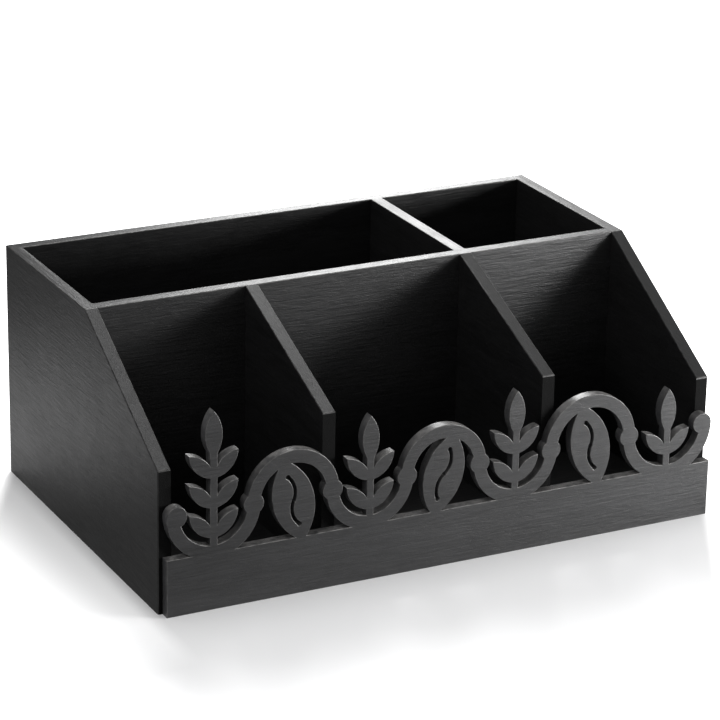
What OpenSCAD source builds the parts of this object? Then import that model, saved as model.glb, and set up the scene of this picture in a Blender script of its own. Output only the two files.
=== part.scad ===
// Wooden countertop organizer with two rows of open compartments.
// The boards meet in stopped housings and rabbets, and a pierced board covers the front edges.
// The origin is at the bottom centre of the whole object: +X right, +Y to the back, +Z up.

/* [Overall] */
// Outside width across the two side boards
width = 400; // [350:1:460]
// Height of the flat tops of the sides, the back and the dividers
height = 165; // [150:1:190]
// Depth of the side boards, without the front board
side_depth = 257; // [230:1:300]

/* [Boards] */
// Thickness of the side boards
side_t = 9; // [8:0.5:12]
// Thickness of the back board
back_t = 9; // [8:0.5:12]
// Thickness of the long board between the two rows
long_t = 9; // [8:0.5:12]
// Thickness of the three short dividers
divider_t = 9; // [8:0.5:12]
// Thickness of the bottom board
bottom_t = 6; // [4:0.5:8]
// Thickness of the pierced front board
front_t = 7; // [6:0.5:10]

/* [Compartments] */
// Clear depth of the back row
back_row_depth = 123; // [100:1:140]
// Clear width of the left front compartment
left_bay_w = 104; // [90:1:115]
// Clear width of the middle front compartment
middle_bay_w = 150; // [135:1:165]

/* [Slants] */
// Height of the side boards at their front edge
side_front_h = 97; // [80:1:112]
// Height of the front dividers at their front edge
divider_front_h = 117; // [105:1:130]
// Radius of the two ends of a side board's slant
side_corner_r = 1.5; // [0.5:0.5:4]
// Radius along the top rear edge of the box
top_edge_r = 1; // [0.5:0.25:2]
// Radius along the bottom rear edge of the box
foot_edge_r = 2; // [0.5:0.25:3]
// Radius of the top front corner of a front divider
divider_corner_r = 1; // [0.5:0.5:3]
// Width of the flat that eases the long free edges
edge_ease = 0.6; // [0.3:0.1:1.2]

/* [Joinery] */
// Depth of the housings that hold the ends of the long board and the dividers
housing_depth = 2.5; // [1.5:0.1:3]
// Play between a board and the width of its housing, both sides together
housing_play = 0.2; // [0.1:0.05:0.4]
// Distance from the flat tops down to the closed end of a housing
housing_stop = 12; // [8:1:20]
// Depth of the rabbets for the back and bottom boards
rabbet_depth = 4; // [2.5:0.5:5]
// Diameter of the hidden pins behind the front board
pin_d = 3; // [2:0.1:3.4]
// Length of a pin
pin_length = 12; // [9:0.5:16]
// Depth of the pin holes in the front board
pin_bite = 4; // [3:0.5:5]
// Play of a pin in its hole, on the diameter
pin_play = 0.1; // [0.05:0.05:0.2]
// Spare depth behind a pin
pin_gap = 0.5; // [0.3:0.1:1]
// Height of the lower row of pins
pin_low_z = 12; // [9:1:14]
// Height of the upper row of pins
pin_high_z = 29; // [24:1:32]

/* [Front board] */
// Height of the plain rail at the foot of the front board
rail_h = 39; // [34:1:46]
// Step from the left side board to the left end of the front board
front_step_left = 3; // [0:0.5:4]
// Step from the right side board to the right end of the front board
front_step_right = 0; // [0:0.5:4]
// Width of the running stem
stem_w = 9; // [7:0.5:11]
// Height of the stem's crossings above the rail
stem_rise = 28; // [25:1:31]
// Half waves of the stem in front of the left, middle and right compartments
bay_waves = [2, 3, 2];
// Diameter of the berries on the crossings
berry_d = 14; // [12:0.5:17]
// Width of the beans in the arches of the stem
bean_w = 29; // [24:0.5:31]
// Lean of the beans, left and right in turn
bean_lean = 14; // [6:1:18]
// Depth that a bean's tips run into the stem and the rail
bean_bite = 4; // [3:0.5:5]
// Width of the wavy split in a bean
split_w = 2.4; // [1.8:0.1:3]
// Length of the wavy split, end to end
split_length = 34; // [26:1:38]
// Sway of the split to each side
split_sway = 2.8; // [1.5:0.1:3.5]
// Diameter of the holes at the ends and the middle of a split
split_hole_d = 3; // [3:0.1:4]
// Heights of the leaf sprigs, from the left to the right
sprig_tops = [134, 113, 113, 96];
// Width of a sprig's stalk
stalk_w = 5; // [4:0.5:7]
// Height above the rail where the lowest leaves leave the stalk
first_leaf_rise = 10; // [7:1:14]
// Distance between the pairs of leaves
leaf_step = 20; // [17:1:24]
// Length of a side leaf
leaf_l = 24; // [18:1:26]
// Width of a side leaf
leaf_w = 9.5; // [7:0.5:11]
// Lean of a side leaf from the stalk
leaf_lean = 44; // [35:1:50]
// Length of the leaf at the tip of a sprig
tip_leaf_l = 32; // [24:1:36]
// Width of the leaf at the tip of a sprig
tip_leaf_w = 12; // [9:0.5:14]

/* [Hidden] */
$fn = 96;
cut = 1; // how far a cutter runs past the face that it opens

depth = side_depth + front_t;
x_right = width / 2;
x_left = -x_right;
x_in_right = x_right - side_t;
x_in_left = -x_in_right;
y_back = depth / 2;
y_front = y_back - side_depth; // front edges of the sides and the front dividers
back_y0 = y_back - back_t; // inner face of the back board
long_y1 = back_y0 - back_row_depth;
long_y0 = long_y1 - long_t; // the slants start in line with this face
stop_z = height - housing_stop;

left_divider_x = x_in_left + left_bay_w;
right_divider_x = left_divider_x + divider_t + middle_bay_w;
back_divider_x = right_divider_x; // in line with the right front divider

front_x0 = x_left + front_step_left;
front_x1 = x_right - front_step_right;
pin_depth = pin_length - pin_bite + pin_gap; // holes in the boards behind the front board
pin_x = [ // midway across the strips where the front board covers the edges behind it
  (front_x0 + x_in_left) / 2,
  left_divider_x + divider_t / 2,
  right_divider_x + divider_t / 2,
  (front_x1 + x_in_right) / 2
];
pin_z = [pin_low_z, pin_high_z];

// Crossings of the running stem: one stands before each front divider
bay_ends = [front_x0 + stem_w / 2, pin_x[1], pin_x[2], front_x1 - stem_w / 2];
stem_x = concat(
  [for (b = [0:2]) for (k = [0:bay_waves[b] - 1])
    bay_ends[b] + k * (bay_ends[b + 1] - bay_ends[b]) / bay_waves[b]],
  [bay_ends[3]]
);
stem_z = rail_h + stem_rise;
waves = len(stem_x) - 1;
function wave_r(k) = (stem_x[k + 1] - stem_x[k]) / 2;
function wave_x(k) = (stem_x[k + 1] + stem_x[k]) / 2;

// Places on the two edges of a corner where an arc of radius r leaves them, and its centre
function unit(v) = v / norm(v);
function turn(a, p, b) = acos(unit(a - p) * unit(b - p));
function off_corner(a, p, b, r) = r / tan(turn(a, p, b) / 2);
function arc_start(a, p, b, r) = p + unit(a - p) * off_corner(a, p, b, r);
function arc_end(a, p, b, r) = p + unit(b - p) * off_corner(a, p, b, r);
function arc_centre(a, p, b, r) =
  p + unit(unit(a - p) + unit(b - p)) * r / sin(turn(a, p, b) / 2);

// Outline with round corners: each point is [y, z, radius], and radius 0 stays sharp
module rounded_outline(points) {
  n = len(points);
  xy = [for (p = points) [p[0], p[1]]];
  cut_points = [
    for (i = [0:n - 1])
      let (a = xy[(i + n - 1) % n], p = xy[i], b = xy[(i + 1) % n], r = points[i][2])
      each r > 0 ? [arc_start(a, p, b, r), arc_end(a, p, b, r)] : [p]
  ];
  polygon(cut_points);
  for (i = [0:n - 1])
    if (points[i][2] > 0)
      translate(arc_centre(xy[(i + n - 1) % n], xy[i], xy[(i + 1) % n], points[i][2]))
        circle(r = points[i][2]);
}

// Board with its outline in the YZ plane, from x to x + t
module board_yz(x, t)
  translate([x, 0, 0])
    rotate([90, 0, 90])
      linear_extrude(t)
        children();

// Board with its outline in the XZ plane, from y to y + t
module board_xz(y, t)
  translate([0, y + t, 0])
    rotate([90, 0, 0])
      linear_extrude(t)
        children();

// Cutter that eases the edge from p to q, two [y, z] places at this x
module ease_yz(x, p, q)
  translate([x, p[0], p[1]])
    rotate([atan2(q[1] - p[1], q[0] - p[0]), 0, 0])
      rotate([0, 45, 0])
        translate([-edge_ease / sqrt(2), 0, -edge_ease / sqrt(2)])
          cube([edge_ease * sqrt(2), norm(q - p), edge_ease * sqrt(2)]);

// Cutter that eases the edge from x0 to x1 at this y and z
module ease_x(x0, x1, y, z)
  translate([x0, y, z])
    rotate([45, 0, 0])
      translate([0, -edge_ease / sqrt(2), -edge_ease / sqrt(2)])
        cube([x1 - x0, edge_ease * sqrt(2), edge_ease * sqrt(2)]);

// Pin holes along Y in one upright edge, from y over this length
module pin_holes(x, y, length)
  for (z = pin_z)
    translate([x, y, z])
      rotate([-90, 0, 0])
        cylinder(d = pin_d + pin_play, h = length);

// Side board with its inner face towards +X, for the left end of the object
module side_board(front_pin_x) {
  top_front = [long_y0, height];
  top_back = [y_back, height];
  slant_end = [y_front, side_front_h];
  difference() {
    board_yz(x_left, side_t)
      rounded_outline([
        [y_front, 0, 0],
        [y_back, 0, foot_edge_r],
        [y_back, height, top_edge_r],
        [long_y0, height, side_corner_r],
        [y_front, side_front_h, side_corner_r]
      ]);
    // rabbets for the back and bottom boards
    translate([x_in_left - rabbet_depth, back_y0, -cut])
      cube([rabbet_depth + cut, back_t + cut, height + 2 * cut]);
    translate([x_in_left - rabbet_depth, y_front - cut, -cut])
      cube([rabbet_depth + cut, side_depth + 2 * cut, bottom_t + cut]);
    // stopped housing for the long divider
    translate([x_in_left - housing_depth, long_y0 - housing_play / 2, -cut])
      cube([housing_depth + cut, long_t + housing_play, stop_z + cut]);
    pin_holes(front_pin_x, y_front - cut, pin_depth + cut);
    ease_yz(x_left, slant_end, top_front);
    ease_yz(x_left, top_front, top_back);
    ease_yz(x_left, [y_back, 0], top_back);
    ease_yz(x_left, [y_front, 0], slant_end);
    ease_yz(x_in_left, slant_end, top_front);
    ease_yz(x_in_left, [long_y1, height], [back_y0, height]);
  }
}

module left_side()
  color([0.13, 0.13, 0.135])
    side_board(pin_x[0]);

module right_side()
  color([0.13, 0.13, 0.135])
    mirror([1, 0, 0])
      side_board(-pin_x[3]);

module back_panel()
  color([0.12, 0.12, 0.125])
    difference() {
      board_yz(x_in_left - rabbet_depth, x_in_right - x_in_left + 2 * rabbet_depth)
        rounded_outline([
          [back_y0, 0, 0],
          [y_back, 0, foot_edge_r],
          [y_back, height, top_edge_r],
          [back_y0, height, 0]
        ]);
      // rabbet for the bottom board
      translate([x_left, back_y0 - cut, -cut])
        cube([width, rabbet_depth + cut, bottom_t + cut]);
      // stopped housing for the back divider
      translate([back_divider_x - housing_play / 2, back_y0 - cut, -cut])
        cube([divider_t + housing_play, housing_depth + cut, stop_z + cut]);
      ease_x(x_in_left, back_divider_x, back_y0, height);
      ease_x(back_divider_x + divider_t, x_in_right, back_y0, height);
    }

module bottom_panel()
  color([0.11, 0.11, 0.115])
    translate([x_in_left - rabbet_depth, y_front, 0])
      cube([x_in_right - x_in_left + 2 * rabbet_depth, back_y0 + rabbet_depth - y_front, bottom_t]);

module long_divider()
  color([0.14, 0.14, 0.145])
    difference() {
      board_xz(long_y0, long_t)
        polygon([
          [x_in_left - housing_depth, bottom_t],
          [x_in_right + housing_depth, bottom_t],
          [x_in_right + housing_depth, stop_z - housing_play],
          [x_in_right, stop_z - housing_play],
          [x_in_right, height],
          [x_in_left, height],
          [x_in_left, stop_z - housing_play],
          [x_in_left - housing_depth, stop_z - housing_play]
        ]);
      // stopped housings for the front dividers and the back divider
      for (x = [left_divider_x, right_divider_x])
        translate([x - housing_play / 2, long_y0 - cut, bottom_t - cut])
          cube([divider_t + housing_play, housing_depth + cut, stop_z - bottom_t + cut]);
      translate([back_divider_x - housing_play / 2, long_y1 - housing_depth, bottom_t - cut])
        cube([divider_t + housing_play, housing_depth + cut, stop_z - bottom_t + cut]);
      ease_x(x_in_left, left_divider_x, long_y0, height);
      ease_x(left_divider_x + divider_t, right_divider_x, long_y0, height);
      ease_x(right_divider_x + divider_t, x_in_right, long_y0, height);
      ease_x(x_in_left, back_divider_x, long_y1, height);
      ease_x(back_divider_x + divider_t, x_in_right, long_y1, height);
    }

module back_divider()
  color([0.14, 0.14, 0.145])
    difference() {
      board_yz(back_divider_x, divider_t)
        polygon([
          [long_y1 - housing_depth, bottom_t],
          [back_y0 + housing_depth, bottom_t],
          [back_y0 + housing_depth, stop_z - housing_play],
          [back_y0, stop_z - housing_play],
          [back_y0, height],
          [long_y1, height],
          [long_y1, stop_z - housing_play],
          [long_y1 - housing_depth, stop_z - housing_play]
        ]);
      for (x = [back_divider_x, back_divider_x + divider_t])
        ease_yz(x, [long_y1, height], [back_y0, height]);
    }

// Front divider with its left face at x and its pins on the middle of its edge
module front_divider(x) {
  slant_end = [y_front, divider_front_h];
  top_back = [long_y0, height];
  difference() {
    board_yz(x, divider_t)
      rounded_outline([
        [y_front, bottom_t, 0],
        [long_y0 + housing_depth, bottom_t, 0],
        [long_y0 + housing_depth, stop_z - housing_play, 0],
        [long_y0, stop_z - housing_play, 0],
        [long_y0, height, 0],
        [y_front, divider_front_h, divider_corner_r]
      ]);
    pin_holes(x + divider_t / 2, y_front - cut, pin_depth + cut);
    for (edge_x = [x, x + divider_t])
      ease_yz(edge_x, slant_end, top_back);
  }
}

module front_divider_left()
  color([0.14, 0.14, 0.145])
    front_divider(left_divider_x);

module front_divider_right()
  color([0.14, 0.14, 0.145])
    front_divider(right_divider_x);

// Pointed oval between two arcs, upright, with its lower tip at the origin
module leaf(length, w) {
  arc_r = (length * length + w * w) / (4 * w);
  intersection() {
    translate([w / 2 - arc_r, length / 2])
      circle(r = arc_r);
    translate([arc_r - w / 2, length / 2])
      circle(r = arc_r);
  }
}

// Half ring of the stem: a trough when k is even, an arch when it is odd
module half_wave(k) {
  r_out = wave_r(k) + stem_w / 2;
  translate([wave_x(k), stem_z])
    intersection() {
      difference() {
        circle(r = r_out);
        circle(r = wave_r(k) - stem_w / 2);
      }
      translate([-r_out - cut, k % 2 == 0 ? -r_out - cut : 0])
        square([2 * (r_out + cut), r_out + cut]);
    }
}

// Bean between the rail and the crown of arch k, and its split
function bean_room(k) = stem_rise + wave_r(k) - stem_w / 2;
function bean_tilt(k) = (k % 4 == 1 ? 1 : -1) * bean_lean;

module at_bean(k)
  translate([wave_x(k), rail_h + bean_room(k) / 2])
    rotate(bean_tilt(k))
      children();

module bean(k) {
  length = bean_room(k) + 2 * bean_bite;
  at_bean(k)
    translate([0, -length / 2])
      leaf(length, bean_w);
}

module bean_split(k) {
  chord = split_length / 2;
  arc_r = (chord * chord / 4 + split_sway * split_sway) / (2 * split_sway);
  at_bean(k) {
    for (side = [0, 180])
      rotate(side)
        intersection() {
          translate([split_sway - arc_r, chord / 2])
            difference() {
              circle(r = arc_r + split_w / 2);
              circle(r = arc_r - split_w / 2);
            }
          translate([-split_sway * 2, 0])
            square([split_sway * 4, chord]);
        }
    for (y = [-chord, 0, chord])
      translate([0, y])
        circle(d = split_hole_d);
  }
}

// Sprig that stands in trough k: a stalk, its pairs of leaves and a leaf at the tip
module sprig(k) {
  top = sprig_tops[k / 2];
  first_z = rail_h + first_leaf_rise;
  tip_z = top - tip_leaf_l;
  translate([wave_x(k), 0]) {
    translate([-stalk_w / 2, rail_h / 2])
      square([stalk_w, tip_z + tip_leaf_l / 3 - rail_h / 2]);
    translate([0, tip_z])
      leaf(tip_leaf_l, tip_leaf_w);
    for (z = [first_z:leaf_step:tip_z])
      for (side = [-1, 1])
        translate([0, z])
          rotate(side * leaf_lean)
            leaf(leaf_l, leaf_w);
  }
}

module fretwork()
  difference() {
    union() {
      translate([front_x0, 0])
        square([front_x1 - front_x0, rail_h]);
      for (k = [0:waves - 1])
        half_wave(k);
      for (k = [1:waves - 1])
        translate([stem_x[k], stem_z])
          circle(d = berry_d);
      translate([front_x0 + berry_d / 2, stem_z])
        circle(d = berry_d);
      translate([front_x1 - berry_d / 2, stem_z])
        circle(d = berry_d);
      for (k = [1:2:waves - 1])
        bean(k);
      for (k = [0:2:waves - 1])
        sprig(k);
    }
    for (k = [1:2:waves - 1])
      bean_split(k);
  }

module front_board()
  color([0.16, 0.16, 0.165])
    difference() {
      board_xz(y_front - front_t, front_t)
        fretwork();
      for (x = pin_x)
        pin_holes(x, y_front - pin_bite, pin_bite + cut);
    }

module front_pins()
  color([0.62, 0.5, 0.34])
    for (x = pin_x)
      for (z = pin_z)
        translate([x, y_front - pin_bite, z])
          rotate([-90, 0, 0])
            cylinder(d = pin_d, h = pin_length);

left_side();
right_side();
back_panel();
bottom_panel();
long_divider();
back_divider();
front_divider_left();
front_divider_right();
front_board();
front_pins();
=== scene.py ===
"""Looks of the wooden countertop organizer: stained boards, soft studio light, the photo's view.

Lengths are in metres, and places are in the CAD's frame: +X right, +Y to the back, +Z up.
"""

import math

import bmesh
import bpy
from mathutils import Matrix, Vector


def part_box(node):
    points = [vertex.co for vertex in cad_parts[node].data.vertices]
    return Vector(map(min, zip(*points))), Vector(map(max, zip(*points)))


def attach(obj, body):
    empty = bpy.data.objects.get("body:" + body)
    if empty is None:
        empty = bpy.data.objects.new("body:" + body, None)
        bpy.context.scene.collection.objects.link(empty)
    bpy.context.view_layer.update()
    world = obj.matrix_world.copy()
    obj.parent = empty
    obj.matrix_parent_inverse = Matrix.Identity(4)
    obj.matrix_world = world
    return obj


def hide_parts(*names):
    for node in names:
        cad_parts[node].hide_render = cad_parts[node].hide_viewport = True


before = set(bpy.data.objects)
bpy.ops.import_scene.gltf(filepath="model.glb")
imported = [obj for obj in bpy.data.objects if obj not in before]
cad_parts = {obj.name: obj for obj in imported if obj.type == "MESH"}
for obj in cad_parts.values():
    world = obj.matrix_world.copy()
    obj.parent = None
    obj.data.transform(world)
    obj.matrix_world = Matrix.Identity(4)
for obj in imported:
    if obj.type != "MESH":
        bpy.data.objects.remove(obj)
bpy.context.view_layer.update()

UP = Vector((0, 0, 1))
WHITE = (1, 1, 1, 1)

# Camera: it looks at a point in the box, from the front and a little to the left
CAMERA_TARGET = Vector((0.00455, 0.00385, 0.09465))
CAMERA_AZIMUTH = math.radians(27.149)
CAMERA_ELEVATION = math.radians(20.606)
CAMERA_ROLL = math.radians(1.063)
CAMERA_DISTANCE = 2.146
CAMERA_LENS_MM = 158.71
SENSOR_MM = 36.0

# Boards: the radius on the pierced board's arrises, the shortest step kept of its outlines, and
# the width below which a face of the CAD is an eased edge
PIERCED_NODE = "front_board"
ARRIS_RADIUS = 0.0004
SHORTEST_STEP = 0.00012
EASED_WIDTH = 0.0011
QUAD_CORNERS = 4

# Points, planes and faces closer than this are taken as one
SAME_POINT = 1e-6
SAME_PLANE = 1e-5
SAME_FACE_ANGLE = math.radians(0.6)

# Cosines between normals, or between a normal and an axis: neighbours that shade as one round
# edge, end grain, the front face, the walls of a cut at most, and the two flat faces at least
ROUND_EDGE_COS = math.cos(math.radians(50))
END_GRAIN_COS = 0.95
FRONT_FACE_COS = 0.99
CUT_WALL_COS = 0.1
FLAT_FACE_COS = 0.995

# How much lighter an arris is painted, least and most: some for rubbing, and a painted highlight
# the more the arris faces up towards the lamps
BOARD_WEAR_AND_HIGHLIGHT = (0.05, 0.80)
PIERCED_WEAR_AND_HIGHLIGHT = (0.35, 1.0)
HIGHLIGHT_FROM = Vector((0.4, 0.0, 0.92))
ARRIS_WEAR_AND_HIGHLIGHT_COLOUR = (0.150, 0.146, 0.142, 1)
# Painted highlight: the walls of a cut are painted lighter where they face up, and hardly where they
# lean
CUT_WALL_HIGHLIGHT = 0.9
CUT_WALL_HIGHLIGHT_POWER = 2

# Layers of the grain: cells per metre along it and across it, detail and roughness of the noise
RIDGES = (38.0, 560.0, 3.0, 0.55)
FIBRES = (110.0, 2400.0, 3.0, 0.60)
FIGURE = (6.0, 70.0, 3.0, 0.50)
PORES = (150.0, 1500.0, 2.0, 0.50)
MOTTLE = (75.0, 210.0, 3.0, 0.60)
GRAIN_DISTORTION = 0.25
# The grain wanders a little across a board, and each board's seed moves it by steps of its own
WANDER_CELLS = (28.0, 60.0)
WANDER = 1.5
SEED_STEPS = (3.1, 5.7, 2.3)

# Weights of the layers in the streaks, in the tone and in the height
STREAK_WEIGHTS = {"ridges": 0.6, "fibres": 0.4}
TONE_WEIGHTS = {"streaks": 0.7, "figure": 0.3}
HEIGHT_WEIGHTS = {"ridges": 0.75, "fibres": 0.25, "mottle": 0.6, "pores": -0.12}

# Parts of a noise that are a pore, a patch of the lighter arrises, and the span from the dark tone to
# the light one
PORE_SPAN = (0.63, 0.72)
ARRIS_PATCH_SPAN = (0.30, 0.62)
TONE_SPAN = (0.36, 0.64)
CLOUD_CELLS = 24.0
ARRIS_PATCH_CELLS = 210.0

# Stain: its dark and light tone as shares of its own, how much darker a pore is, and its blue
DARK_SHARE = 0.5
LIGHT_SHARE = 1.5
PORE_DARKNESS = 0.6
BLUE_SHARE = 1.04

# How far each layer moves the roughness up or down
STREAK_SHEEN = 0.08
CLOUD_SHEEN = 0.05
MOTTLE_SHEEN = 0.06
WEAR_AND_HIGHLIGHT_SHEEN = 0.08

LACQUER_IOR = 1.5
STAIN_BUMP = 0.0006

# End grain
RING_CELLS = 420.0
END_PORE_CELLS = 2600.0
END_PORE_SPAN = (0.45, 0.70)
END_DARK = (0.0010, 0.0010, 0.0010, 1)
END_LIGHT = (0.0045, 0.0045, 0.0045, 1)
END_ROUGHNESS = (0.62, 0.82)
END_HEIGHT_WEIGHTS = {"rings": 0.5, "pores": -0.5}
END_BUMP = 0.0003
END_RELIEF = 0.35
END_LUSTRE = 0.08

# Bare wood of the pins
PIN_CELLS = (40.0, 900.0)
PIN_DARK = (0.42, 0.29, 0.16, 1)
PIN_LIGHT = (0.60, 0.45, 0.27, 1)
PIN_BUMP = 0.0002
PIN_RELIEF = 0.3
PIN_ROUGHNESS = 0.6

# Stain on each board: how pale it is, its mean roughness, the strength of its bump, and the level
# of its reflections
BOARDS = {
    # node: (grain axis, seed, stain, roughness, relief, lustre)
    "left_side": ("Y", 1, 0.006, 0.38, 0.45, 0.50),
    "right_side": ("Y", 2, 0.006, 0.50, 0.30, 0.50),
    "back_panel": ("X", 3, 0.005, 0.36, 0.30, 0.50),
    "bottom_panel": ("X", 4, 0.007, 0.50, 0.30, 0.50),
    "long_divider": ("X", 5, 0.006, 0.38, 0.50, 0.43),
    "back_divider": ("Y", 6, 0.007, 0.42, 0.30, 0.50),
    "front_divider_left": ("Y", 7, 0.007, 0.42, 0.30, 0.50),
    "front_divider_right": ("Y", 8, 0.007, 0.42, 0.30, 0.47),
    "front_board": ("X", 9, 0.015, 0.42, 0.50, 0.50),
}
CUT_EDGES = ("X", 10, 0.036, 0.34, 0.20, 0.50)

# Places of a node's sockets, where a name stands for more than one
RANGE_START = 1
RANGE_END = 2
RANGE_LOW = 3
RANGE_HIGH = 4
MIX_LOW = 6
MIX_HIGH = 7
MIX_COLOUR = 2

# Floor: half its side, its finish, and half the width and depth of the object that stands on it
FLOOR_HALF = 6.0
FLOOR_COLOUR = (0.80, 0.80, 0.805, 1)
FLOOR_ROUGHNESS = 0.42
FLOOR_IOR = 1.45
HALF_WIDTH = 0.200
HALF_DEPTH = 0.132

# The floor's own white, as it is seen. It rises with the distance from the object, which counts
# for more beside and behind it, until the floor is as white as the background.
OUTER_LIFT = (0.0, 0.8)
OUTER_LIFT_AT = (0.05, 0.40)
SIDE_SPREAD = 4.0
BACK_SPREAD = 4.0
# Painted light: beside the object the floor is lifted from the start, which lightens its shadow,
# more towards the front, up to the front corners
SIDE_LIFT = (0.14, 0.30)
SIDE_LIFT_Y = (0.10, -0.12)
SIDE_LIFT_START = (0.0, 0.012)
SIDE_LIFT_END_Y = (-0.200, -HALF_DEPTH)
# Painted light: it is also lifted to white outside two lines, so that the back light's shadow ends on
# them
CORNER_LIFT = 0.6
CORNER_LIFT_AT = (-0.005, 0.006)

# Painted shade in reflections: what gloss sees of the floor is painted dim in places, as black
# cards in a studio would make it: far from the object but not in front of it, beside its sides,
# in front of it and most at its left, and further in front. A pair for a distance, an X or a Y is
# where a dim patch starts and is whole.
FAR_DIMMING_AT = (0.12, 0.36)
FAR_DIMMING_Y = (-0.25, -0.10)
SIDE_DIMMING_FRONT_Y = (-0.18, -0.12)
SIDE_DIMMING_BACK_Y = (0.17, 0.04)
FRONT_DIMMING_Y = (-0.12, -0.18)
FRONT_DIMMING_X = (0.18, -0.06)
FRONT_DIMMING = (0.0, 0.7)
WIDE_DIMMING_Y = (-0.22, -0.30)
WIDE_DIMMING = (0.0, 0.22)

# World: what it gives as light, what gloss sees of it, and the background that the camera sees
WORLD_LIGHT = 0.5
WORLD_GLOSS = 0.18
WORLD_SEEN = 1.0

BACK_LIGHT = Vector((0.49, 0.90, 0.80))
SHADOW_ACROSS = Vector((BACK_LIGHT.y, -BACK_LIGHT.x, 0.0)).normalized()
LAMPS = {
    # name: (place, aim, size, watts)
    "back_softbox": (BACK_LIGHT, (0.04, 0.06, 0.165), (0.34, 0.75), 10.5),
    "top_softbox": ((0.25, 0.15, 1.5), (0, 0, 0.1), (0.9, 0.7), 5.2),
    "left_softbox": ((-0.75, -0.30, 0.80), (-0.1, 0, 0.1), (0.4, 0.4), 3.0),
    "front_softbox": ((0.92, -0.76, 0.20), (0.2, -0.1, 0.05), (0.42, 0.30), 19.0),
}


def add_object(name, data):
    made = bpy.data.objects.new(name, data)
    bpy.context.scene.collection.objects.link(made)
    return made


def make_camera():
    forward = Vector((
        math.sin(CAMERA_AZIMUTH) * math.cos(CAMERA_ELEVATION),
        math.cos(CAMERA_AZIMUTH) * math.cos(CAMERA_ELEVATION),
        -math.sin(CAMERA_ELEVATION),
    ))
    level_right = forward.cross(UP).normalized()
    level_up = level_right.cross(forward)
    right = level_right * math.cos(CAMERA_ROLL) + level_up * math.sin(CAMERA_ROLL)
    up = right.cross(forward)
    data = bpy.data.cameras.new("camera")
    data.lens = CAMERA_LENS_MM
    data.sensor_width = SENSOR_MM
    camera = add_object("camera", data)
    turn = Matrix((right, up, -forward)).transposed().to_4x4()
    camera.matrix_world = Matrix.Translation(CAMERA_TARGET - forward * CAMERA_DISTANCE) @ turn
    bpy.context.scene.camera = camera


class Nodes:
    """Short calls that build one node tree. Each takes sockets to link or plain values to set."""

    def __init__(self, tree):
        self.tree = tree
        tree.nodes.clear()

    def node(self, kind, inputs=None, **settings):
        """A new node. Inputs go by name, or by their place where two have the same name."""
        made = self.tree.nodes.new(kind)
        for key, value in settings.items():
            setattr(made, key, value)
        for key, value in (inputs or {}).items():
            socket = made.inputs[key]
            if isinstance(value, bpy.types.NodeSocket):
                self.tree.links.new(value, socket)
            else:
                socket.default_value = value
        return made

    def math(self, operation, first, *others):
        """The operation on the first value and the next one, then on that and the next."""
        for other in others:
            inputs = {0: first, 1: other}
            first = self.node("ShaderNodeMath", inputs, operation=operation).outputs[0]
        return first

    def weighted(self, weights, **values):
        """The sum of the named values, each times its weight."""
        products = [self.math("MULTIPLY", values[name], weight) for name, weight in weights.items()]
        return self.math("ADD", *products)

    def vector(self, operation, *values):
        """An operation on vectors, which gives a vector, or a number for a length or a product."""
        made = self.node("ShaderNodeVectorMath", dict(enumerate(values)), operation=operation)
        return made.outputs["Value" if operation in ("LENGTH", "DOT_PRODUCT") else "Vector"]

    def parts(self, vector):
        return self.node("ShaderNodeSeparateXYZ", {0: vector}).outputs

    def scaled(self, value, low, high):
        """A value from 0 to 1, moved to the range from low to high."""
        inputs = {"Value": value, RANGE_LOW: low, RANGE_HIGH: high}
        return self.node("ShaderNodeMapRange", inputs).outputs[0]

    def ramp(self, value, start, end, shape="LINEAR"):
        """0 up to the start and 1 from the end on."""
        inputs = {"Value": value, RANGE_START: start, RANGE_END: end}
        return self.node("ShaderNodeMapRange", inputs, interpolation_type=shape).outputs[0]

    def soft_ramp(self, value, start, end):
        return self.ramp(value, start, end, "SMOOTHSTEP")

    def mixed(self, factor, low, high):
        """The colour between two colours."""
        inputs = {0: factor, MIX_LOW: low, MIX_HIGH: high}
        return self.node("ShaderNodeMix", inputs, data_type="RGBA").outputs[MIX_COLOUR]

    def mixed_shader(self, factor, low, high):
        return self.node("ShaderNodeMixShader", {0: factor, 1: low, 2: high}).outputs[0]

    def place(self):
        """Where a point of the object is, in metres."""
        return self.node("ShaderNodeTexCoord").outputs["Object"]

    def stretched(self, grain, along, across, offset=(0, 0, 0)):
        """The place, times a small number along the grain and a large one across it."""
        scale = tuple(along if axis == grain else across for axis in "XYZ")
        inputs = {"Vector": self.place(), "Location": offset, "Scale": scale}
        return self.node("ShaderNodeMapping", inputs).outputs[0]

    def noise(self, vector, scale=1.0, detail=4.0, roughness=0.55, distortion=0.0):
        inputs = {
            "Vector": vector, "Scale": scale, "Detail": detail,
            "Roughness": roughness, "Distortion": distortion,
        }
        return self.node("ShaderNodeTexNoise", inputs).outputs["Fac"]

    def bump(self, height, strength, distance):
        inputs = {"Strength": strength, "Distance": distance, "Height": height}
        return self.node("ShaderNodeBump", inputs).outputs[0]

    def principled(self, inputs):
        return self.node("ShaderNodeBsdfPrincipled", inputs).outputs[0]

    def seen(self, path):
        """1 where the camera looks, straight or through glass, and 0 for light and reflections."""
        return self.math("MAXIMUM", path["Is Camera Ray"], path["Is Transmission Ray"])

    def surface(self, shader, output="ShaderNodeOutputMaterial"):
        """The tree's result, for a material or, with the other output, for the world."""
        self.node(output, {"Surface": shader})


def new_material(name):
    """An empty material, and the calls that fill its node tree."""
    material = bpy.data.materials.new(name)
    material.use_nodes = True
    return material, Nodes(material.node_tree)


def stain_tone(stain, share):
    """A share of the stain's colour, which has a trace more blue than red or green."""
    return (share * stain, share * stain, share * (stain * BLUE_SHARE), 1)


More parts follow.
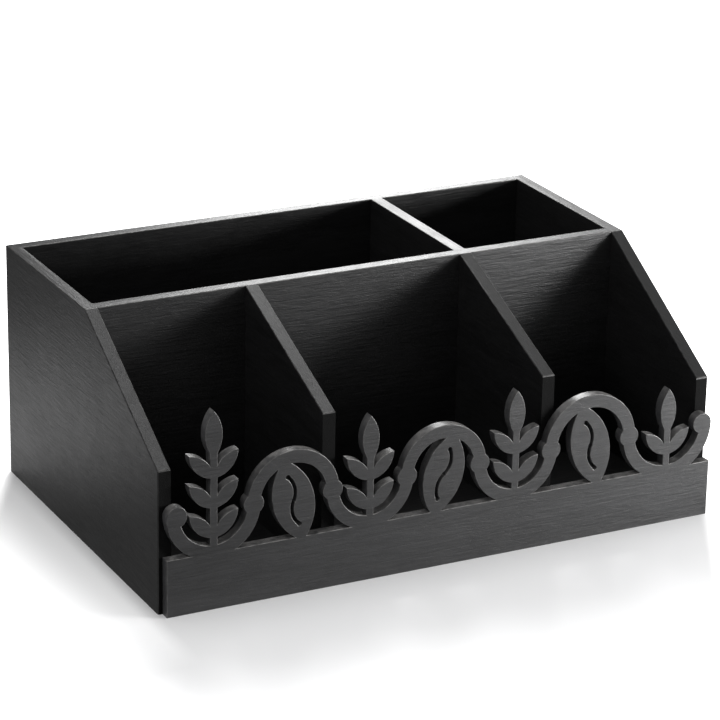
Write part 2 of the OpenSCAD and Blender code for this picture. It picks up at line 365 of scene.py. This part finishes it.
def stained_wood(name, grain, seed, stain, sheen, relief, lustre):
    """Black stain under a thin satin lacquer, over open-grained wood with its grain along one axis."""
    material, n = new_material(name)
    place = n.place()
    shift = tuple(seed * step for step in SEED_STEPS)
    wander = n.noise(n.stretched(grain, *WANDER_CELLS, shift), detail=2.0)
    sway = n.math("MULTIPLY", wander, WANDER)

    def layer(along, across, detail, roughness):
        at = n.vector("ADD", n.stretched(grain, along, across, shift), sway)
        return n.noise(at, detail=detail, roughness=roughness, distortion=GRAIN_DISTORTION)

    # ridges and furrows left by brushing, fine fibres, broad figure, short dark pores, and a
    # mottle that breaks up the gloss
    ridges = layer(*RIDGES)
    fibres = layer(*FIBRES)
    figure = layer(*FIGURE)
    pores = n.ramp(layer(*PORES), *PORE_SPAN)
    mottle = layer(*MOTTLE)
    cloud = n.noise(place, scale=CLOUD_CELLS, detail=3.0)
    streaks = n.weighted(STREAK_WEIGHTS, ridges=ridges, fibres=fibres)

    tone = n.ramp(n.weighted(TONE_WEIGHTS, streaks=streaks, figure=figure), *TONE_SPAN)
    between_pores = n.math("SUBTRACT", 1.0, n.math("MULTIPLY", pores, PORE_DARKNESS))
    tone = n.math("MULTIPLY", tone, between_pores)
    colour = n.mixed(tone, stain_tone(stain, DARK_SHARE), stain_tone(stain, LIGHT_SHARE))

    # arrises are painted lighter in patches: thin stain from rubbing, and a painted highlight where
    # they face up
    wear_and_highlight = n.node("ShaderNodeAttribute", attribute_name="wear_and_highlight").outputs["Fac"]
    patches = n.ramp(n.noise(place, scale=ARRIS_PATCH_CELLS, detail=3.0), *ARRIS_PATCH_SPAN)
    wear_and_highlight = n.math("MULTIPLY", wear_and_highlight, patches)
    colour = n.mixed(wear_and_highlight, colour, ARRIS_WEAR_AND_HIGHLIGHT_COLOUR)

    roughness = n.math(
        "ADD",
        n.scaled(streaks, sheen + STREAK_SHEEN, sheen - STREAK_SHEEN),
        n.scaled(cloud, -CLOUD_SHEEN, CLOUD_SHEEN),
        n.scaled(mottle, MOTTLE_SHEEN, -MOTTLE_SHEEN),
        n.math("MULTIPLY", wear_and_highlight, -WEAR_AND_HIGHLIGHT_SHEEN),
    )
    height = n.weighted(HEIGHT_WEIGHTS, ridges=ridges, fibres=fibres, mottle=mottle, pores=pores)
    n.surface(n.principled({
        "Base Color": colour, "Roughness": roughness, "Normal": n.bump(height, relief, STAIN_BUMP),
        "IOR": LACQUER_IOR, "Specular IOR Level": lustre,
    }))
    return material


def end_grain(name):
    """End grain drinks the stain and the lacquer, so it dries nearly black and dull, full of pores."""
    material, n = new_material(name)
    place = n.place()
    rings = n.noise(place, scale=RING_CELLS, detail=3.0)
    pores = n.ramp(n.noise(place, scale=END_PORE_CELLS, detail=2.0), *END_PORE_SPAN)
    height = n.weighted(END_HEIGHT_WEIGHTS, rings=rings, pores=pores)
    n.surface(n.principled({
        "Base Color": n.mixed(rings, END_DARK, END_LIGHT),
        "Roughness": n.scaled(rings, *END_ROUGHNESS),
        "Normal": n.bump(height, END_RELIEF, END_BUMP),
        "IOR": LACQUER_IOR, "Specular IOR Level": END_LUSTRE,
    }))
    return material


def bare_wood(name, grain):
    """Unfinished pale wood, streaked along its grain."""
    material, n = new_material(name)
    streak = n.noise(n.stretched(grain, *PIN_CELLS))
    n.surface(n.principled({
        "Base Color": n.mixed(streak, PIN_DARK, PIN_LIGHT),
        "Roughness": PIN_ROUGHNESS,
        "Normal": n.bump(streak, PIN_RELIEF, PIN_BUMP),
    }))
    return material


def cad_solid(node):
    """The CAD's mesh of a node, to work on, with each corner a single point."""
    solid = bmesh.new()
    solid.from_mesh(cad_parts[node].data)
    bmesh.ops.remove_doubles(solid, verts=solid.verts, dist=SAME_POINT)
    return solid


def finished(node, solid):
    """Object for a finished solid: flat faces shade flat, and the eased edges between them round.

    A corner's normal is weighed by area squared, so it follows the large flat face beside an edge.
    """
    normals = []
    for face in solid.faces:
        for loop in face.loops:
            near = [
                other for other in loop.vert.link_faces
                if face.normal.dot(other.normal) > ROUND_EDGE_COS
            ]
            total = sum((other.normal * other.calc_area() ** 2 for other in near), Vector())
            normals.append(total.normalized() if total.length > 0 else face.normal.copy())
    mesh = bpy.data.meshes.new(node + "_finished")
    solid.to_mesh(mesh)
    solid.free()
    for polygon in mesh.polygons:
        polygon.use_smooth = True
    mesh.normals_split_custom_set(normals)
    return add_object(node + "_finished", mesh)


def arris_wear_and_highlight(normal, lightening_span):
    """How much lighter an arris that faces along the normal is painted: some for rubbing, and more as
    a painted highlight the more it faces up towards the lamps.
    """
    least, most = lightening_span
    return least + (most - least) * max(0.0, normal.dot(HIGHLIGHT_FROM))


def eased_board(node, grain):
    """A board as the CAD has it: narrow eased edges painted lighter for rubbing and as a painted
    highlight, end grain as its own finish.
    """
    along = "XYZ".index(grain)
    solid = cad_solid(node)
    bmesh.ops.dissolve_limit(
        solid, angle_limit=SAME_FACE_ANGLE, verts=solid.verts, edges=solid.edges
    )
    wear_and_highlight = solid.faces.layers.float.new("wear_and_highlight")
    for face in solid.faces:
        longest = max(edge.calc_length() for edge in face.edges)
        if face.calc_area() / longest < EASED_WIDTH:
            # a narrow eased face is painted lighter: some rubbing, and a painted highlight by where it
            # faces
            face[wear_and_highlight] = arris_wear_and_highlight(face.normal, BOARD_WEAR_AND_HIGHLIGHT)
        elif abs(face.normal[along]) > END_GRAIN_COS:
            face.material_index = 1
    large = [face for face in solid.faces if len(face.verts) > QUAD_CORNERS]
    bmesh.ops.triangulate(solid, faces=large)
    return finished(node, solid)


def front_outlines(node):
    """Closed outlines of a board's flat front face, as points in X and Z."""
    solid = cad_solid(node)
    front_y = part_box(node)[0][1]
    front = [
        face for face in solid.faces
        if face.normal.y < -FRONT_FACE_COS
        and abs(face.calc_center_median().y - front_y) < SAME_PLANE
    ]
    # the set is only asked, never walked, because its order changes from run to run
    inside = set(front)
    following = {}
    for face in front:
        for loop in face.loops:
            if all(other not in inside for other in loop.edge.link_faces if other is not face):
                following[loop.vert.index] = loop.link_loop_next.vert.index
    solid.verts.ensure_lookup_table()
    outlines = []
    while following:
        ring = []
        here = next(iter(following))
        while here in following:
            ring.append(here)
            here = following.pop(here)
        outlines.append([(solid.verts[i].co.x, solid.verts[i].co.z) for i in ring])
    solid.free()
    return outlines


def spaced(outline):
    """The outline without the points that crowd the one before."""
    kept = [outline[0]]
    for point in outline[1:]:
        if math.dist(point, kept[-1]) > SHORTEST_STEP:
            kept.append(point)
    return kept


def rounded_sheet(name, outlines, thickness):
    """Mesh of a flat sheet cut along the outlines, with its arrises rounded, lying in X and Y."""
    curve = bpy.data.curves.new(name, "CURVE")
    curve.dimensions = "2D"
    curve.fill_mode = "BOTH"
    curve.extrude = thickness / 2 - ARRIS_RADIUS
    curve.bevel_depth = ARRIS_RADIUS
    curve.bevel_resolution = 1
    curve.offset = -ARRIS_RADIUS
    for outline in outlines:
        points = spaced(outline)
        spline = curve.splines.new("POLY")
        spline.points.add(len(points) - 1)
        for place, (x, y) in zip(spline.points, points):
            place.co = (x, y, 0, 1)
        spline.use_cyclic_u = True
    flat = add_object(name, curve)
    mesh = bpy.data.meshes.new_from_object(flat.evaluated_get(bpy.context.evaluated_depsgraph_get()))
    bpy.data.objects.remove(flat)
    return mesh


def pierced_board(node):
    """The pierced front board, cut again along its own outlines with every arris rounded.

    Its arrises are painted lighter, for rubbing and as a painted highlight most where they face up and
    out, and its cut edges have their own finish, with a painted highlight where they face up.
    """
    low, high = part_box(node)
    middle = (low[1] + high[1]) / 2
    mesh = rounded_sheet(node + "_outlines", front_outlines(node), high[1] - low[1])
    solid = bmesh.new()
    solid.from_mesh(mesh)
    bpy.data.meshes.remove(mesh)
    bmesh.ops.remove_doubles(solid, verts=solid.verts, dist=SAME_POINT)
    for vert in solid.verts:
        x, z, depth = vert.co
        vert.co = (x, middle - depth, z)
    bmesh.ops.recalc_face_normals(solid, faces=solid.faces)
    wear_and_highlight = solid.faces.layers.float.new("wear_and_highlight")
    for face in solid.faces:
        turned = abs(face.normal.y)
        if turned <= CUT_WALL_COS:
            face.material_index = 1
            # painted highlight: a cut wall is painted lighter the more it faces up
            face[wear_and_highlight] = CUT_WALL_HIGHLIGHT * max(0.0, face.normal.z) ** CUT_WALL_HIGHLIGHT_POWER
        elif turned < FLAT_FACE_COS:
            # an arris is painted lighter: some rubbing, and a painted highlight by where it faces
            outward = Vector((face.normal.x, 0, face.normal.z)).normalized()
            face[wear_and_highlight] = arris_wear_and_highlight(outward, PIERCED_WEAR_AND_HIGHLIGHT)
    return finished(node, solid)


def make_boards():
    ends = end_grain("stain_end_grain")
    cuts = stained_wood("stain_cut_edges", *CUT_EDGES)
    for node, look in BOARDS.items():
        grain = look[0]
        material = stained_wood("stain_" + node, *look)
        if node == PIERCED_NODE:
            piece = pierced_board(node)
            second = cuts
        else:
            piece = eased_board(node, grain)
            second = ends
        piece.data.materials.append(material)
        piece.data.materials.append(second)
        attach(piece, "root")
        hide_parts(node)
    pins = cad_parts["front_pins"]
    pins.data.materials.clear()
    pins.data.materials.append(bare_wood("pin_wood", "Y"))


def floor_lift(n, place, where, apart):
    """How much white the floor gives of its own where the camera looks at it: the background's white
    further off, and painted light that lightens the shadow near the object.
    """
    behind = n.math("GREATER_THAN", where["Y"], 0.0)
    across = n.math("MULTIPLY", apart["X"], SIDE_SPREAD)
    along = n.math("MULTIPLY", apart["Y"], n.scaled(behind, 1.0, BACK_SPREAD))
    distance = n.vector("LENGTH", n.node("ShaderNodeCombineXYZ", {0: across, 1: along}).outputs[0])
    side_lift = n.math(
        "MULTIPLY",
        n.scaled(n.ramp(where["Y"], *SIDE_LIFT_Y), *SIDE_LIFT),
        n.ramp(apart["X"], *SIDE_LIFT_START),
        n.ramp(where["Y"], *SIDE_LIFT_END_Y),
    )
    outer_lift = n.scaled(n.soft_ramp(distance, *OUTER_LIFT_AT), *OUTER_LIFT)
    lift = n.math("ADD", side_lift, outer_lift)
    # painted light: the floor is lifted to white outside a line through the left back corner and
    # one through the right front corner, so that the back light's shadow ends on these lines
    for side in (-1, 1):
        corner = Vector((side * HALF_WIDTH, -side * HALF_DEPTH, 0))
        outward = side * SHADOW_ACROSS
        past = n.math("SUBTRACT", n.vector("DOT_PRODUCT", place, outward), outward.dot(corner))
        outside = n.scaled(n.soft_ramp(past, *CORNER_LIFT_AT), 0.0, CORNER_LIFT)
        lift = n.math("ADD", lift, outside)
    return lift


def floor_gloss_dimming(n, where, apart, away):
    """Painted shade in reflections: how much of the floor is painted dim where gloss looks at it, from
    0 to 1.
    """
    far = n.math("MULTIPLY", n.soft_ramp(away, *FAR_DIMMING_AT), n.ramp(where["Y"], *FAR_DIMMING_Y))
    side = n.math(
        "MULTIPLY",
        n.ramp(where["Y"], *SIDE_DIMMING_FRONT_Y),
        n.ramp(where["Y"], *SIDE_DIMMING_BACK_Y),
        n.math("GREATER_THAN", apart["X"], 0.0),
    )
    front = n.math(
        "MULTIPLY",
        n.ramp(where["Y"], *FRONT_DIMMING_Y),
        n.scaled(n.ramp(where["X"], *FRONT_DIMMING_X), *FRONT_DIMMING),
    )
    wide = n.scaled(n.ramp(where["Y"], *WIDE_DIMMING_Y), *WIDE_DIMMING)
    return n.math("MAXIMUM", far, side, front, wide)


def floor_finish():
    """Pale, nearly matt floor that runs out into the white background and keeps the shadow, lightened
    in places by painted light, with painted shade in what gloss sees of it.
    """
    material, n = new_material("floor")
    path = n.node("ShaderNodeLightPath").outputs
    place = n.place()
    where = n.parts(place)
    # how far a point of the floor lies outside the object's footprint
    inward = n.vector("SUBTRACT", n.vector("ABSOLUTE", place), (HALF_WIDTH, HALF_DEPTH, 0.0))
    outside = n.vector("MAXIMUM", inward, (0, 0, 0))
    apart = n.parts(outside)
    away = n.vector("LENGTH", outside)

    surface = n.principled({
        "Base Color": FLOOR_COLOUR, "Roughness": FLOOR_ROUGHNESS, "IOR": FLOOR_IOR,
        "Emission Color": WHITE,
        "Emission Strength": n.math("MULTIPLY", n.seen(path), floor_lift(n, place, where, apart)),
    })
    # painted shade in reflections: where gloss looks, the floor is mixed towards this dim white
    dim_gloss_emission = n.node("ShaderNodeEmission", {"Color": WHITE, "Strength": WORLD_GLOSS}).outputs[0]
    gloss_dimming = n.math("MULTIPLY", path["Is Glossy Ray"], floor_gloss_dimming(n, where, apart, away))
    n.surface(n.mixed_shader(gloss_dimming, surface, dim_gloss_emission))
    return material


def make_floor():
    half = FLOOR_HALF
    corners = [(-half, -half, 0), (half, -half, 0), (half, half, 0), (-half, half, 0)]
    mesh = bpy.data.meshes.new("floor")
    mesh.from_pydata(corners, [], [(0, 1, 2, 3)])
    mesh.materials.append(floor_finish())
    floor = add_object("floor", mesh)


def make_world():
    """White where the camera looks, dim where gloss looks, and even soft light for the rest."""
    world = bpy.data.worlds.new("world")
    bpy.context.scene.world = world
    world.use_nodes = True
    n = Nodes(world.node_tree)
    path = n.node("ShaderNodeLightPath").outputs

    def even(strength):
        return n.node("ShaderNodeBackground", {"Color": WHITE, "Strength": strength}).outputs[0]

    light = n.mixed_shader(path["Is Glossy Ray"], even(WORLD_LIGHT), even(WORLD_GLOSS))
    n.surface(n.mixed_shader(n.seen(path), light, even(WORLD_SEEN)), "ShaderNodeOutputWorld")


def area_light(name, place, aim, size, watts):
    """Softbox that shines from its place to the aim. The camera doesn't see it."""
    data = bpy.data.lights.new(name, "AREA")
    data.shape = "RECTANGLE"
    data.size, data.size_y = size
    data.energy = watts
    lamp = add_object(name, data)
    lamp.location = place
    lamp.rotation_euler = (Vector(aim) - Vector(place)).to_track_quat("-Z", "Y").to_euler()
    lamp.visible_camera = False


def make_lights():
    for name, look in LAMPS.items():
        area_light(name, *look)


bpy.context.scene.view_settings.view_transform = "Standard"
make_camera()
make_boards()
make_floor()
make_world()
make_lights()
